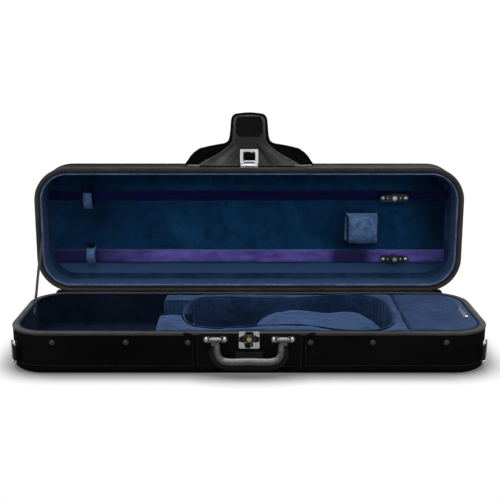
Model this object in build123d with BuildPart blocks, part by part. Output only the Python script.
from build123d import *
import os
from math import sin, cos, radians

# Oblong hard-shell violin case, open. Millimetres, +Z up, front of the case towards -Y.
# Origin: centre of the base's resting face.

# ---------------------------------------------------------------- driving dimensions
case_w = 790.0          # outer length of the case, left to right
case_d = 232.0          # outer depth, front to back
corner_r = 62.0         # plan corner radius
base_h = 71.5           # base height to the rim face
lid_h = 71.0            # lid height from its outer panel to its rim face
rim_gap = 0.2           # clearance between the two rim faces when closed
cover_t = 1.5           # canvas cover thickness
shell_t = 5.0           # shell wall thickness
lining_t = 4.0          # padded wall lining thickness
rim_h = 4.0             # height of the rim strips
rim_edge_r = 1.3        # rounding of the rim strips' meeting faces
edge_r = 8.0            # outer bottom / top edge rounding
inner_edge_r = 3.0      # rounding of the shell's inner bottom edge
base_floor = 9.5        # padded floor of the base, above the resting face
lid_floor = 11.5        # padded panel of the lid, from its outer panel
open_deg = 91.5         # lid opening angle
hinge_y, hinge_z = 119.0, 67.0   # lid hinge axis
run = 0.06              # running clearance of pins
patch_t = 1.2           # thickness of the patches on the front and the flap

skin_t = cover_t + shell_t
wall_t = skin_t + lining_t
half_d = case_d / 2
half_inner_w = case_w / 2 - wall_t
closed_h = base_h + rim_gap + lid_h
base_rim_z = base_h - rim_h
lid_rim_w = lid_h - rim_h

# Oversizes of cutting blocks: all reach past the case
cut_h = 90.0
cut_d = 240.0

# ---------------------------------------------------------------- planes
# Lid attitude. Closed, the lid's own axes are x = X, v = -Y, w = -Z from its outer panel;
# the lid is drawn directly in its open attitude.
lid_angle = radians(-open_deg)
hinge_v, hinge_w = -hinge_y, closed_h - hinge_z
lid_origin = (0,
              hinge_y + hinge_v * cos(lid_angle) - hinge_w * sin(lid_angle),
              hinge_z + hinge_v * sin(lid_angle) + hinge_w * cos(lid_angle))
v_dir = (0, -cos(lid_angle), -sin(lid_angle))
w_dir = (0, sin(lid_angle), -cos(lid_angle))

LID = Plane(origin=lid_origin, x_dir=(1, 0, 0), z_dir=w_dir)             # local (x, v), normal w
LID_SECTION = Plane(origin=lid_origin, x_dir=v_dir, z_dir=(1, 0, 0))     # local (v, w), normal X
LID_FRONT = Plane(origin=lid_origin, x_dir=(1, 0, 0), z_dir=v_dir)       # local (x, -w), normal v
BASE = Plane.XY
SECTION = Plane.YZ                                                       # local (Y, Z), normal X
FRONT = Plane(origin=(0, -half_d, 0), x_dir=(1, 0, 0), z_dir=(0, -1, 0))  # local (X, Z), normal -Y
REAR = Plane(origin=(0, half_d, 0), x_dir=(-1, 0, 0), z_dir=(0, 1, 0))    # local (-X, Z), normal +Y
ON_FACE = (Align.CENTER, Align.CENTER, Align.MIN)
UNDER_FACE = (Align.CENTER, Align.CENTER, Align.MAX)


# ---------------------------------------------------------------- shared shapes
def normal_axis(plane):
    return Axis(plane.origin, plane.z_dir)


def case_plan(inset, mode=Mode.ADD):
    """The case's rounded-rectangle plan, inset all round, for the sketch in progress."""
    RectangleRounded(case_w - 2 * inset, case_d - 2 * inset, corner_r - inset, mode=mode)


def block(plane, inset, bottom, top, rounding):
    """Solid of the inset case plan, with its lowest edge rounded."""
    with BuildPart() as body:
        with BuildSketch(plane.offset(bottom)):
            case_plan(inset)
        extrude(amount=top - bottom)
        fillet(body.edges().group_by(normal_axis(plane))[0], rounding)
    return body.part


def difference(solid, *cuts):
    with BuildPart() as body:
        add(solid)
        for cut in cuts:
            add(cut, mode=Mode.SUBTRACT)
    return body.part


def wall_blocks(plane, top):
    """Nested solids bounding the cover, the shell and the lining."""
    return (block(plane, 0, 0, top, edge_r),
            block(plane, cover_t, cover_t, top, edge_r - cover_t),
            block(plane, skin_t, skin_t, top, inner_edge_r))


def rim(plane, bottom):
    """Rim strip round the top of a wall."""
    with BuildPart() as strip:
        with BuildSketch(plane.offset(bottom)):
            case_plan(0)
            case_plan(wall_t, mode=Mode.SUBTRACT)
        extrude(amount=rim_h)
        fillet(strip.edges().group_by(normal_axis(plane))[-1], rim_edge_r)
    return strip.part


piping_r = 1.6
piping_rounding = 1.1
piping_offset = 9.5     # middle of the piping, from the outer panel


def piping(plane):
    """Square piping round the wall."""
    with BuildPart() as strip:
        with BuildSketch(plane.offset(piping_offset - piping_r)):
            case_plan(-piping_r)
            case_plan(0, mode=Mode.SUBTRACT)
        extrude(amount=2 * piping_r)
    return strip.part


def stands_proud(edge):
    """True for an edge reaching more than 0.5 mm outside the case plan."""
    box = edge.bounding_box()
    return (max(abs(box.min.X), abs(box.max.X)) > case_w / 2 + 0.5
            or max(abs(box.min.Y), abs(box.max.Y)) > case_d / 2 + 0.5)


def base_piping():
    """The base's piping, its outer edges rounded."""
    with BuildPart() as strip:
        add(piping(BASE))
        fillet(strip.edges().filter_by(stands_proud), piping_rounding)
    return strip.part


def screw_heads(plane, spots, radius, height, rounding=0.0, align=ON_FACE):
    """Round heads on a plane at local spots, rounded at the end along its normal."""
    with BuildPart() as heads:
        for x, y in spots:
            with Locations(plane * Location((x, y, 0))):
                Cylinder(radius, height, align=align)
        if rounding:
            fillet(heads.edges().group_by(normal_axis(plane))[-1], rounding)
    return heads.part


def rods(planes, spots, radius, length):
    """Plain round rods or discs from each plane, at the same local spots."""
    with BuildPart() as body:
        for plane in planes:
            with BuildSketch(plane):
                with Locations(*spots):
                    Circle(radius)
            extrude(amount=length)
    return body.part


# ---------------------------------------------------------------- interior of the base
neck_x = -155.0         # left face of the neck block
seam_x = 262.5          # right face of the surround
surround_z = 70.0       # top of the surround
floor_r = 6.0           # rounding of the lining and its inserts at the floor
notch_r = 15.0          # rounding of the neck notch's lower corners

# (x, y) round the hollow, a closed spline
hollow = [
    (-113, 0), (-106, -52), (-86, -79), (-50, -88), (0, -80), (50, -72), (88, -72), (120, -84),
    (150, -97), (185, -100), (220, -91), (241, -58), (247, 0), (242, 58), (221, 90), (185, 100),
    (150, 98), (118, 88), (84, 81), (45, 80), (0, 84), (-50, 88), (-86, 81), (-107, 54),
]
# (y, z) corners of the neck notch
neck_notch = [(-17, 80), (-9, 30), (54, 30), (66, 80)]


def foam_surround():
    """Foam fitted round the body and neck of the instrument."""
    with BuildPart() as foam:
        add(block(BASE, wall_t, base_floor, surround_z, floor_r))
        with BuildSketch(BASE):
            with Locations(((neck_x + seam_x) / 2, 0)):
                Rectangle(seam_x - neck_x, cut_d)
        extrude(amount=cut_h, mode=Mode.INTERSECT)
        # hollow for the body of the instrument
        with BuildSketch(BASE):
            with BuildLine():
                Spline(*hollow, periodic=True)
            make_face()
        extrude(amount=cut_h, mode=Mode.SUBTRACT)
        # U-notch for the neck
        with BuildSketch(SECTION.offset(neck_x - 1)):
            with BuildLine():
                Polyline(*neck_notch, close=True)
            notch = make_face()
            fillet(notch.vertices().group_by(Axis.Y)[0], notch_r)
        extrude(amount=60, mode=Mode.SUBTRACT)
    return foam.part


cushion_top = 52.0
cushion_r = 7.0
# (x, y) round the cushion, a closed spline
cushion_edge = [
    (7, -45), (10, -5), (24, 36), (52, 68), (86, 75), (118, 67), (155, 63), (190, 64),
    (212, 36), (226, -10), (229, -56), (195, -88), (150, -86), (105, -70), (60, -64), (22, -68),
]


def body_cushion():
    """Raised cushion under the body of the instrument."""
    with BuildPart() as cushion:
        with BuildSketch(BASE.offset(base_floor)):
            with BuildLine():
                Spline(*cushion_edge, periodic=True)
            make_face()
        extrude(amount=cushion_top - base_floor)
        fillet(cushion.edges().group_by(Axis.Z)[-1], cushion_r)
    return cushion.part


box_x = 263.0           # left face of the accessory box
box_t = 3.0             # its wall and floor thickness
box_top = 66.0
board_t = 4.0           # thickness of the box's lid
board_gap = 1.2         # from the box's lid to the wall lining
board_top = box_top + board_t
fold_x, fold_z = box_x + 3.0, box_top + board_t / 2
LEFT_OF = (Align.MAX, Align.CENTER)


def accessory_box():
    """Box at the right end, open on top."""
    with BuildPart() as box:
        add(block(BASE, wall_t, base_floor, box_top, floor_r))
        with BuildSketch(BASE):
            with Locations((box_x, 0)):
                Rectangle(case_w / 2, cut_d, align=(Align.MIN, Align.CENTER))
        extrude(amount=cut_h, mode=Mode.INTERSECT)
        with BuildSketch(BASE.offset(base_floor + box_t)):
            case_plan(wall_t + box_t)
            with Locations((box_x + box_t, 0)):
                Rectangle(case_w, cut_d, align=LEFT_OF, mode=Mode.SUBTRACT)
        extrude(amount=cut_h, mode=Mode.SUBTRACT)
    return box.part


def compartment_lid():
    """Lid of the accessory box, its left edge rolled round the fold axis."""
    half_fold = half_d - wall_t - board_gap
    with BuildPart() as board:
        with BuildSketch(BASE.offset(box_top)):
            case_plan(wall_t + board_gap)
            with Locations((fold_x, 0)):
                Rectangle(case_w, cut_d, align=LEFT_OF, mode=Mode.SUBTRACT)
        extrude(amount=board_t)
        with BuildSketch(Plane.XZ.offset(-half_fold)):
            with Locations((fold_x, fold_z)):
                Circle(board_t / 2)
        extrude(amount=2 * half_fold)
    return board.part


tab_x, tab_y0, tab_y1 = 369.0, -42.0, 26.0
tab_w, tab_t = 11.0, 1.2
snap_r, snap_h, snap_rounding = 3.6, 1.6, 1.2
snap_inset = 6.0        # from the tab's front end


def pull_tab():
    with BuildPart() as tab:
        with BuildSketch(BASE.offset(board_top)):
            with Locations((tab_x, (tab_y0 + tab_y1) / 2)):
                SlotOverall(tab_y1 - tab_y0, tab_w, rotation=90)
        extrude(amount=tab_t)
    return tab.part


# ---------------------------------------------------------------- front of the base
lock_z = 56.8                       # middle of the lock case
pocket_w, pocket_h = 28.0, 21.4     # recess in the front wall for the lock case
pocket_proud = 2.0                  # the recess cut starts this far in front of the wall
pocket_cut = 8.5


def lock_pocket():
    """Cutting block for the recess in the front wall."""
    with BuildPart() as pocket:
        with BuildSketch(FRONT.offset(pocket_proud)):
            with Locations((0, lock_z)):
                Rectangle(pocket_w, pocket_h)
        extrude(amount=-pocket_cut)
    return pocket.part


front_patch_w, front_patch_h, front_patch_z = 172.0, 58.0, 40.5
patch_top_r, patch_bottom_r = 12.0, 4.0


def front_patch(pocket):
    """Patch behind the lock and the handle."""
    with BuildPart() as patch:
        with BuildSketch(FRONT):
            with Locations((0, front_patch_z)):
                Rectangle(front_patch_w, front_patch_h)
        extrude(amount=patch_t)
        fillet(patch.edges().filter_by(Axis.Y).group_by(Axis.Z)[-1], patch_top_r)
        fillet(patch.edges().filter_by(Axis.Y).group_by(Axis.Z)[0], patch_bottom_r)
        add(pocket, mode=Mode.SUBTRACT)
    return patch.part


def small_patch(plane, y, width, height, radius):
    """Rounded patch on a plane, centred at local (0, y)."""
    with BuildPart() as patch:
        with BuildSketch(plane):
            with Locations((0, y)):
                RectangleRounded(width, height, radius)
        extrude(amount=patch_t)
    return patch.part


plate_w, plate_h, plate_t, plate_r = 33.0, 29.0, 1.5, 2.5
plate_z = 59.5
lock_case_gap = 0.1     # lock case to its recess, all round
lock_case_depth = 7.2
lock_case_t = 1.2
boss_w, boss_h, boss_z = 15.4, 12.4, 62.0
boss_rise, boss_taper = 4.4, 22.0
slot_w, slot_h = 3.4, 7.2
slot_x, slot_z = 4.5, 51.3
key_r = 3.9             # radius of the lock cylinder


def lock_body():
    """Plate, case let into the wall, and a raised four-sided boss."""
    seat = FRONT.offset(patch_t)
    lock_case_w, lock_case_h = pocket_w - 2 * lock_case_gap, pocket_h - 2 * lock_case_gap
    with BuildPart() as lock:
        with BuildSketch(seat):
            with Locations((0, plate_z)):
                RectangleRounded(plate_w, plate_h, plate_r)
        extrude(amount=plate_t)
        with BuildSketch(seat):
            with Locations((0, lock_z)):
                Rectangle(lock_case_w, lock_case_h)
        extrude(amount=-lock_case_depth)
        with BuildSketch(seat):
            with Locations((0, lock_z)):
                Rectangle(lock_case_w - 2 * lock_case_t, lock_case_h - 2 * lock_case_t)
        extrude(amount=lock_case_t - lock_case_depth, mode=Mode.SUBTRACT)
        with BuildSketch(seat.offset(plate_t)):
            with Locations((0, boss_z)):
                Rectangle(boss_w, boss_h)
        extrude(amount=boss_rise, taper=boss_taper)
        # bore for the lock cylinder, from 3 mm behind the wall face
        with Locations(FRONT.offset(12) * Location((0, boss_z, 0))):
            Cylinder(key_r + run, 30, mode=Mode.SUBTRACT)
        # slot for the staple of the hasp
        with BuildSketch(seat.offset(-0.5)):
            with Locations((slot_x, slot_z)):
                Rectangle(slot_w, slot_h)
        extrude(amount=plate_t + 1, mode=Mode.SUBTRACT)
    return lock.part


def lock_cylinder():
    face = 7.9              # the cylinder's face, in front of the wall
    length = 12.2
    keyway_w, keyway_h, keyway_depth = 1.1, 5.0, 2.5
    cam_w, cam_h, cam_t = 3.4, 6.2, 2.5
    with BuildPart() as key_barrel:
        with BuildSketch(FRONT.offset(face)):
            with Locations((0, boss_z)):
                Circle(key_r)
        extrude(amount=-length)
        with BuildSketch(FRONT.offset(face)):
            with Locations((0, boss_z)):
                Rectangle(keyway_w, keyway_h)
        extrude(amount=-keyway_depth, mode=Mode.SUBTRACT)
        # cam at the back
        with BuildSketch(FRONT.offset(-1.0)):
            with Locations((0, boss_z - cam_h / 2)):
                Rectangle(cam_w, cam_h)
        extrude(amount=-cam_t)
    return key_barrel.part


def lock_bolt():
    """Bolt block, with a tongue on its right."""
    # start from the wall face, x, z, width, height, depth
    steps = [(0.3, -4.5, 51.5, 7.0, 4.4, 5.0),
             (-0.3, 0.4, 51.7, 3.6, 2.2, 2.2)]
    with BuildPart() as bolt:
        for start, x, z, width, height, depth in steps:
            with BuildSketch(FRONT.offset(start)):
                with Locations((x, z)):
                    Rectangle(width, height)
            extrude(amount=-depth)
    return bolt.part


def front_studs():
    """Domed studs along the front."""
    stud_xs = (-318, -199, -99, 99, 199, 318)
    stud_z = 55
    flange_r, flange_h = 4.6, 1.4
    dome_r, dome_h, dome_rounding = 3.3, 1.6, 1.4
    with BuildPart() as studs:
        for x in stud_xs:
            with Locations(FRONT * Location((x, stud_z, 0))):
                Cylinder(flange_r, flange_h, align=ON_FACE)
                with Locations(Location((0, 0, flange_h))):
                    Cylinder(dome_r, dome_h, align=ON_FACE)
        fillet(studs.edges().group_by(Axis.Y)[0], dome_rounding)
    return studs.part


# ---------------------------------------------------------------- handle
arm_x = 54.5            # handle pivots, either side of the middle
pivot_y, pivot_z = -half_d - 9.0, 62.0
handle_pin_r, handle_pin_len = 2.0, 20.0
bracket_w, bracket_h, bracket_t, bracket_r = 38.0, 11.0, 1.5, 4.5
bracket_z = 60.5
bracket_screw_x = 14.7  # screws, either side of the bracket's middle
ear_t, ear_r = 2.4, 3.8
ear_x = 7.9             # ears, either side of the bracket's middle


def handle_brackets():
    """Two plates, each with a pair of ears for the pin."""
    ear_reach = -pivot_y - half_d - patch_t
    with BuildPart() as brackets:
        for side in (-1, 1):
            with BuildSketch(FRONT.offset(patch_t)):
                with Locations((side * arm_x, bracket_z)):
                    RectangleRounded(bracket_w, bracket_h, bracket_r)
            extrude(amount=bracket_t)
            for ear in (-1, 1):
                with BuildSketch(SECTION.offset(side * arm_x + ear * ear_x - ear_t / 2)):
                    with Locations((pivot_y + ear_reach / 2, pivot_z)):
                        Rectangle(ear_reach, 2 * ear_r)
                    with Locations((pivot_y, pivot_z)):
                        Circle(ear_r)
                        Circle(handle_pin_r, mode=Mode.SUBTRACT)
                extrude(amount=ear_t)
    return brackets.part


def handle_eyes():
    """Eyes on the pins, each with a shank down to the grip."""
    eye_r, eye_w = 4.6, 12.6
    shank_t, shank_len = 5.0, 9.4
    with BuildPart() as eyes:
        for side in (-1, 1):
            with BuildSketch(SECTION.offset(side * arm_x - eye_w / 2)):
                with Locations((pivot_y, pivot_z)):
                    Circle(eye_r)
                with Locations((pivot_y, pivot_z - shank_len / 2)):
                    Rectangle(shank_t, shank_len)
                with Locations((pivot_y, pivot_z)):
                    Circle(handle_pin_r + run, mode=Mode.SUBTRACT)
            extrude(amount=eye_w)
    return eyes.part


grip_r = 7.4
grip_top = 52.5
grip_tilt = 9.0         # the grip stands off the front as it hangs
grip_bend_r = 11.0
# (across, down) along the left half of the grip's centre line
grip_left = [(-arm_x, -2), (-arm_x - 1.5, 18), (-arm_x + 3.5, 30), (-arm_x + 14, 37.2)]


def handle_grip():
    """Round grip swept along a U, cut level at its upper ends."""
    hang = Plane(origin=(0, pivot_y, grip_top), x_dir=(1, 0, 0),
                 z_dir=(0, cos(radians(grip_tilt)), -sin(radians(grip_tilt))))
    grip_right = [(-x, down) for x, down in reversed(grip_left)]
    with BuildPart() as grip:
        with BuildLine(hang):
            path = FilletPolyline(*grip_left, *grip_right, radius=grip_bend_r)
        with BuildSketch(Plane(origin=path @ 0, z_dir=path % 0)):
            Circle(grip_r)
        sweep()
        with Locations((0, pivot_y, grip_top)):
            Box(150, 40, 12, align=ON_FACE, mode=Mode.SUBTRACT)
    return grip.part


# ---------------------------------------------------------------- side rings, leather keepers
# side is -1 for the left front corner, 1 for the right
ring_deg = 36.0         # direction of the rings, from the X axis towards the front
ring_z = 31.0
corner_x, corner_y = case_w / 2 - corner_r, -(case_d / 2 - corner_r)
wire_r = 1.5
ring_half_w = 7.0       # half width of the ring, to the middle of the wire
ring_half_h = 19.0      # half height of the ring, likewise
ring_corner_r = 5.0
ring_off = 4.6          # stand-off of the ring from the corner face
keeper_x = 5.5          # middle of the keeper, towards the front
keeper_sink = 1.5       # depth drawn behind the corner plane
tunnel_gap = 0.1


def corner_plane(side):
    """Plane on the front corner's face: local x along the case wall, local y up, normal out."""
    normal = (side * cos(radians(ring_deg)), -sin(radians(ring_deg)), 0)
    origin = (side * corner_x + normal[0] * corner_r, corner_y + normal[1] * corner_r, ring_z)
    return Plane(origin=origin, x_dir=(-normal[1], normal[0], 0), z_dir=normal)


def ring_keeper(side):
    """Thick pad over a thin strap, bored for the ring and cut to the round corner."""
    # width, height, corner radius, height above the corner plane
    layers = [(15, 26, 3, 6.9), (12, 37, 4, 1.6)]
    face = corner_plane(side)
    with BuildPart() as keeper:
        for width, height, radius, rise in layers:
            with BuildSketch(face.offset(-keeper_sink)):
                with Locations((-keeper_x * side, 0)):
                    RectangleRounded(width, height, radius)
            extrude(amount=keeper_sink + rise)
        # tunnel for the ring's side
        with BuildSketch(Plane(origin=face.origin, x_dir=face.x_dir, z_dir=(0, 0, 1)).offset(-30)):
            with Locations((-ring_half_w * side, -ring_off)):
                Circle(wire_r + tunnel_gap)
        extrude(amount=60, mode=Mode.SUBTRACT)
        with Locations(Location((side * corner_x, corner_y, ring_z))):
            Cylinder(corner_r, 90, mode=Mode.SUBTRACT)
    return keeper.part


def side_ring(side):
    """Rounded-rectangle wire ring."""
    with BuildPart() as ring:
        with BuildSketch(corner_plane(side).offset(ring_off - wire_r)):
            RectangleRounded(2 * (ring_half_w + wire_r), 2 * (ring_half_h + wire_r),
                             ring_corner_r + wire_r)
            RectangleRounded(2 * (ring_half_w - wire_r), 2 * (ring_half_h - wire_r),
                             ring_corner_r - wire_r, mode=Mode.SUBTRACT)
        extrude(amount=2 * wire_r)
        # just short of the full wire radius, which would leave no flat between fillets
        fillet(ring.edges(), wire_r - 0.12)
    return ring.part


# ---------------------------------------------------------------- lid hinges
hinge_xs = (-250.0, 0.0, 250.0)
hinge_len = 60.0
pin_r = 1.2             # lid hinge pin radius
pin_proud = 0.5         # pin past each end of the hinge
knuckle_r = 2.6
knuckle_gap = 0.3
knuckle_len = (hinge_len - 4 * knuckle_gap) / 5
knuckle_xs = [-hinge_len / 2 + i * (knuckle_len + knuckle_gap) for i in range(5)]
base_leaf_t = 1.2
base_leaf_z0, base_leaf_z1 = 40.0, 64.2
lid_leaf_t = 1.4
lid_leaf_w0, lid_leaf_w1 = 47.0, 70.3
hinge_screw_xs = (-21, 0, 21)
hinge_screw_r, hinge_screw_h = 2.8, 1.0


def hinge_base_leaves():
    """Leaves on the rear wall, with the three odd knuckles of each hinge."""
    web_t, web_h, web_z = 1.4, 4.0, 65.4
    with BuildPart() as leaves:
        for hinge_x in hinge_xs:
            with BuildSketch(REAR):
                with Locations((-hinge_x, (base_leaf_z0 + base_leaf_z1) / 2)):
                    Rectangle(hinge_len, base_leaf_z1 - base_leaf_z0)
            extrude(amount=base_leaf_t)
            for x in knuckle_xs[0::2]:
                with BuildSketch(SECTION.offset(hinge_x + x)):
                    with Locations((hinge_y, hinge_z)):
                        Circle(knuckle_r)
                    with Locations((half_d + web_t / 2, web_z)):
                        Rectangle(web_t, web_h)
                    with Locations((hinge_y, hinge_z)):
                        Circle(pin_r, mode=Mode.SUBTRACT)
                extrude(amount=knuckle_len)
    return leaves.part


def hinge_lid_leaves():
    """Leaves on the lid's rear wall, with the two even knuckles of each hinge."""
    web_v, web_t = -half_d - 1.0, 1.2
    lip_w, lip_h = 71.5, 3.0
    web_h = 5.2
    with BuildPart() as leaves:
        for hinge_x in hinge_xs:
            with BuildSketch(LID_SECTION.offset(hinge_x - hinge_len / 2)):
                with Locations((-half_d - lid_leaf_t / 2, (lid_leaf_w0 + lid_leaf_w1) / 2)):
                    Rectangle(lid_leaf_t, lid_leaf_w1 - lid_leaf_w0)
                with Locations((web_v, lip_w)):
                    Rectangle(web_t, lip_h)
            extrude(amount=hinge_len)
            for x in knuckle_xs[1::2]:
                with BuildSketch(LID_SECTION.offset(hinge_x + x)):
                    with Locations((hinge_v, hinge_w)):
                        Circle(knuckle_r)
                    with Locations((web_v, hinge_w - web_h / 2)):
                        Rectangle(web_t, web_h)
                    with Locations((hinge_v, hinge_w)):
                        Circle(pin_r + run, mode=Mode.SUBTRACT)
                extrude(amount=knuckle_len)
    return leaves.part


# ---------------------------------------------------------------- interior of the lid
ribbon_t = 0.8
ribbon_top = lid_floor + ribbon_t
ribbon_hole_r = 3.0
ribbon_half = half_inner_w - 12
upper_spinner = (274.0, 54.0)       # (x, v) of the bow spinners
lower_spinner = (278.0, -64.0)
spinners = (upper_spinner, lower_spinner)
post_r, post_h = 2.5, 19.0
post_base_r, post_base_t = 7.0, 1.6


def ribbon(v, length, width, spinner):
    """Satin ribbon across the padded panel, holed for a spinner post."""
    with BuildPart() as band:
        with BuildSketch(LID.offset(lid_floor)):
            with Locations((0, v)):
                Rectangle(length, width)
            with Locations(spinner):
                Circle(ribbon_hole_r, mode=Mode.SUBTRACT)
        extrude(amount=ribbon_t)
    return band.part


def bow_loops():
    """Velvet loops for the bow tips, standing over the ribbons."""
    # x, v of the middle, span along v
    loops = [(-306.5, 47.5, 33.0), (-303.5, -60.0, 36.0)]
    loop_w = 18.0
    loop_t = 2.6
    loop_top = 27.0
    outer_lean, inner_lean = 3.0, 5.4   # set-in of the top corners from the feet
    with BuildPart() as straps:
        for x, v, span in loops:
            half = span / 2
            inner_top = loop_top - loop_t
            outline = [(-half, ribbon_top), (-half + outer_lean, loop_top),
                       (half - outer_lean, loop_top), (half, ribbon_top),
                       (half - loop_t, ribbon_top), (half - inner_lean, inner_top),
                       (-half + inner_lean, inner_top), (-half + loop_t, ribbon_top)]
            with BuildSketch(LID_SECTION.offset(x - loop_w / 2)):
                with BuildLine():
                    Polyline(*[(v + across, w) for across, w in outline], close=True)
                make_face()
            extrude(amount=loop_w)
    return straps.part


def accessory_loop():
    """Velvet tunnel for the string tube, open at both ends."""
    left_x, length = 182.0, 64.0
    middle_v = -4.0
    width, height, thickness = 58.0, 38.0, 3.5
    outer_r, inner_r = 9.0, 6.0
    with BuildPart() as tunnel:
        with BuildSketch(LID_SECTION.offset(left_x)):
            with Locations((middle_v, lid_floor + height / 2)):
                RectangleRounded(width, height, outer_r)
                RectangleRounded(width - 2 * thickness, height - 2 * thickness, inner_r,
                                 mode=Mode.SUBTRACT)
        extrude(amount=length)
    return tunnel.part


def spinner_posts():
    """Posts of the bow spinners, their base discs on the ribbons."""
    with BuildPart() as posts:
        for spinner in spinners:
            with BuildSketch(LID.offset(ribbon_top)):
                with Locations(spinner):
                    Circle(post_base_r)
            extrude(amount=post_base_t)
            with BuildSketch(LID.offset(lid_floor)):
                with Locations(spinner):
                    Circle(post_r)
            extrude(amount=post_h)
    return posts.part


def spinner_bar(spinner, tilt):
    """Slot-shaped bar with a round middle, and a hub towards the panel."""
    bar_len, bar_w, bar_t = 54.0, 13.0, 5.0
    middle_r = 8.5
    hub_r = 5.0
    hub_start, bar_start = 15.0, 24.0
    with BuildPart() as bar:
        with BuildSketch(LID.offset(bar_start)):
            with Locations(Location((*spinner, 0), (0, 0, tilt))):
                SlotOverall(bar_len, bar_w)
                Circle(middle_r)
                Circle(post_r + run, mode=Mode.SUBTRACT)
        extrude(amount=bar_t)
        with BuildSketch(LID.offset(hub_start)):
            with Locations(spinner):
                Circle(hub_r)
                Circle(post_r + run, mode=Mode.SUBTRACT)
        extrude(amount=bar_start - hub_start)
    return bar.part


# ---------------------------------------------------------------- hasp on the lid's front edge
hasp_v, hasp_w = half_d + 4.0, closed_h - 78.0     # hasp hinge axis
hasp_knuckle_r = 2.2
hasp_pin_r, hasp_pin_len = 1.0, 32.0
mount_t = 1.4


def hasp_mount():
    """Plate on the lid's front wall, with a knuckle at each end."""
    plate_drop = 9.6        # middle of the plate, from the hinge axis
    end_knuckle_len = 7.0
    web_depth, web_h = 3.0, 3.6
    with BuildPart() as mount:
        with BuildSketch(LID_FRONT.offset(half_d)):
            with Locations((0, -(hasp_w - plate_drop))):
                RectangleRounded(32, 13, 2.5)
        extrude(amount=mount_t)
        for x in (-15.0, 8.0):
            with BuildSketch(LID_SECTION.offset(x)):
                with Locations((hasp_v, hasp_w)):
                    Circle(hasp_knuckle_r)
                with Locations((half_d + web_depth / 2, hasp_w - 2.6)):
                    Rectangle(web_depth, web_h)
                with Locations((hasp_v, hasp_w)):
                    Circle(hasp_pin_r, mode=Mode.SUBTRACT)
            extrude(amount=end_knuckle_len)
    return mount.part


def hasp_leaf():
    """Windowed leaf standing straight out from its knuckle, with a staple."""
    leaf_w, leaf_t, leaf_r = 33.0, 1.6, 2.0
    leaf_start, leaf_end = 3.0, 29.5    # from the hinge axis
    window_w, window_h, window_r, window_v = 17.0, 14.0, 1.2, 16.0
    mid_knuckle_len = 15.4
    web_v, web_len = 2.4, 4.4
    staple_x, staple_t = 3.5, 2.0
    staple_v, staple_len, staple_h = 26.3, 5.0, 7.4
    eye_len, eye_h, eye_rise = 3.2, 3.6, 4.6
    with BuildPart() as leaf:
        with BuildSketch(LID.offset(hasp_w - leaf_t / 2)):
            with Locations((0, hasp_v + (leaf_start + leaf_end) / 2)):
                RectangleRounded(leaf_w, leaf_end - leaf_start, leaf_r)
            with Locations((0, hasp_v + window_v)):
                RectangleRounded(window_w, window_h, window_r, mode=Mode.SUBTRACT)
        extrude(amount=leaf_t)
        with BuildSketch(LID_SECTION.offset(-mid_knuckle_len / 2)):
            with Locations((hasp_v, hasp_w)):
                Circle(hasp_knuckle_r)
            with Locations((hasp_v + web_v, hasp_w)):
                Rectangle(web_len, leaf_t)
            with Locations((hasp_v, hasp_w)):
                Circle(hasp_pin_r + run, mode=Mode.SUBTRACT)
        extrude(amount=mid_knuckle_len)
        # staple on the inner face, with its eye
        with BuildSketch(LID_SECTION.offset(staple_x)):
            with Locations((hasp_v + staple_v, hasp_w + leaf_t / 2 + staple_h / 2)):
                Rectangle(staple_len, staple_h)
            with Locations((hasp_v + staple_v, hasp_w + leaf_t / 2 + eye_rise)):
                Rectangle(eye_len, eye_h, mode=Mode.SUBTRACT)
        extrude(amount=staple_t)
    return leaf.part


# ---------------------------------------------------------------- leather flap
flap_w = 36.0           # middle of the flap, from the lid's outer panel
flap_t = 3.6
# (x, v) along the left half of the flap's free edge, ending at its tip
flap_left = [
    (-119, 117.2), (-113.8, 124.6), (-109.1, 132.1), (-102.3, 139.6), (-91.6, 147.1),
    (-74, 151.6), (-58.5, 154.5), (-44, 157.0), (-37.5, 162.0), (-35.0, 170.0),
    (-33.6, 182.0), (-32.6, 193.0), (-31.0, 202.0), (-26.5, 208.5), (-16, 213.0), (0, 214.2),
]


def flap():
    """Leather flap standing out from the lid's front wall."""
    edge = flap_left + [(-x, v) for x, v in reversed(flap_left[:-1])]
    with BuildPart() as leather:
        with BuildSketch(LID.offset(flap_w - flap_t / 2)):
            with BuildLine():
                Spline(*edge)
                Line(edge[-1], edge[0])
            make_face()
        extrude(amount=flap_t)
    return leather.part


# ---------------------------------------------------------------- lid stay strap
stay_x = -half_inner_w + 0.1
stay_t = 1.2
# (y, z) corners of the strap, from the base to the lid
stay_outline = [(31, 60), (45, 60), (138, 170), (138, 184), (129, 184)]
rivet_r, rivet_t = 3.2, 1.2


def lid_stay():
    """Strap at the left end, from the base up to the lid."""
    with BuildPart() as strap:
        with BuildSketch(SECTION.offset(stay_x)):
            with BuildLine():
                Polyline(*stay_outline, close=True)
            make_face()
        extrude(amount=stay_t)
    return strap.part


def stay_rivet(y, z):
    return rods([SECTION.offset(stay_x + stay_t)], [(y, z)], rivet_r, rivet_t)


def tab_snap():
    """Snap button near the front end of the pull tab."""
    return screw_heads(BASE.offset(board_top + tab_t), [(tab_x, tab_y0 + snap_inset)],
                       snap_r, snap_h, snap_rounding)


# ---------------------------------------------------------------- all pieces, by file name
pocket = lock_pocket()
base_outer, base_shell_space, base_inner = wall_blocks(BASE, base_rim_z)
lid_outer, lid_shell_space, lid_inner = wall_blocks(LID, lid_rim_w)
# the linings' hollows run 6 mm past the rim faces
base_hollow = block(BASE, wall_t, base_floor, base_h + 6, floor_r)
lid_hollow = block(LID, wall_t, lid_floor, lid_h + 6, 10.0)

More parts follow.
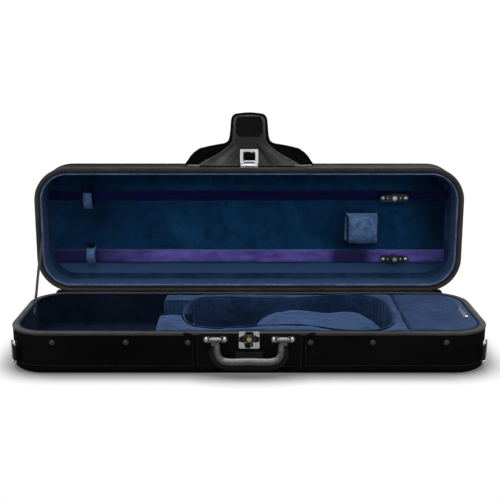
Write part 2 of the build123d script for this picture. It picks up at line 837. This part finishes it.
pieces = {
    # base
    "base_cover": difference(base_outer, base_shell_space, pocket),
    "base_shell": difference(base_shell_space, base_inner, pocket),
    "base_lining": difference(base_inner, base_hollow),
    "base_rim": rim(BASE, base_rim_z),
    "base_piping": base_piping(),
    "foam_surround": foam_surround(),
    "body_cushion": body_cushion(),
    "accessory_box": accessory_box(),
    "compartment_lid": compartment_lid(),
    "pull_tab": pull_tab(),
    "tab_snap": tab_snap(),
    # front
    "front_patch": front_patch(pocket),
    "loop_patch": small_patch(FRONT.offset(patch_t), y=27, width=46, height=26, radius=3),
    "lock_body": lock_body(),
    "lock_screws": screw_heads(
        FRONT.offset(patch_t + plate_t), [(x, z) for x in (-13.2, 13.2) for z in (48.3, 70.9)],
        radius=1.9, height=0.45, rounding=0.3),
    "lock_cylinder": lock_cylinder(),
    "lock_bolt": lock_bolt(),
    "front_studs": front_studs(),
    # handle
    "handle_brackets": handle_brackets(),
    "bracket_screws": screw_heads(
        FRONT.offset(patch_t + bracket_t),
        [(side * arm_x + end * bracket_screw_x, bracket_z) for side in (-1, 1) for end in (-1, 1)],
        radius=3.6, height=2.2, rounding=1.6),
    "handle_pins": rods(
        [SECTION.offset(side * arm_x - handle_pin_len / 2) for side in (-1, 1)],
        [(pivot_y, pivot_z)], handle_pin_r, handle_pin_len),
    "handle_eyes": handle_eyes(),
    "handle_grip": handle_grip(),
    # side rings
    "ring_keeper_left": ring_keeper(-1),
    "ring_keeper_right": ring_keeper(1),
    "ring_left": side_ring(-1),
    "ring_right": side_ring(1),
    # lid hinges
    "hinge_base_leaves": hinge_base_leaves(),
    "hinge_pins": rods(
        [SECTION.offset(x - hinge_len / 2 - pin_proud) for x in hinge_xs],
        [(hinge_y, hinge_z)], pin_r, hinge_len + 2 * pin_proud),
    "hinge_base_screws": screw_heads(
        REAR.offset(base_leaf_t), [(x - hinge_x, 50) for hinge_x in hinge_xs for x in hinge_screw_xs],
        hinge_screw_r, hinge_screw_h, rounding=0.7),
    "hinge_lid_leaves": hinge_lid_leaves(),
    "hinge_lid_screws": screw_heads(
        LID_FRONT.offset(-half_d - lid_leaf_t),
        [(hinge_x + x, -57) for hinge_x in hinge_xs for x in hinge_screw_xs],
        hinge_screw_r, hinge_screw_h, align=UNDER_FACE),
    # lid
    "lid_cover": difference(lid_outer, lid_shell_space),
    "lid_shell": difference(lid_shell_space, lid_inner),
    "lid_lining": difference(lid_inner, lid_hollow),
    "lid_rim": rim(LID, lid_rim_w),
    "lid_piping": piping(LID),
    "ribbon_upper": ribbon(57.0, 2 * ribbon_half, 19, upper_spinner),
    "ribbon_lower": ribbon(-61.0, 2 * (ribbon_half - 5), 25, lower_spinner),
    "bow_loops": bow_loops(),
    "accessory_loop": accessory_loop(),
    "spinner_posts": spinner_posts(),
    "spinner_upper": spinner_bar(upper_spinner, tilt=3.0),
    "spinner_lower": spinner_bar(lower_spinner, tilt=-2.0),
    "spinner_caps": rods([LID.offset(lid_floor + post_h)], spinners, radius=4.2, length=1.8),
    # hasp, flap and stay
    "hasp_mount": hasp_mount(),
    "hasp_pin": rods([LID_SECTION.offset(-hasp_pin_len / 2)], [(hasp_v, hasp_w)],
                     hasp_pin_r, hasp_pin_len),
    "hasp_screws": screw_heads(
        LID_FRONT.offset(half_d + mount_t), [(x, -(hasp_w - 10.5)) for x in (-11, 11)],
        radius=2.0, height=0.9),
    "hasp_leaf": hasp_leaf(),
    "flap": flap(),
    "flap_patch": small_patch(LID.offset(flap_w + flap_t / 2), y=188.5, width=48, height=36, radius=6),
    "lid_stay": lid_stay(),
    "stay_rivet_base": stay_rivet(40.5, 65.0),
    "stay_rivet_lid": stay_rivet(134.5, 178.5),
}

os.makedirs("parts", exist_ok=True)
for name, piece in pieces.items():
    piece.label = name
    export_step(piece, f"parts/{name}.step")
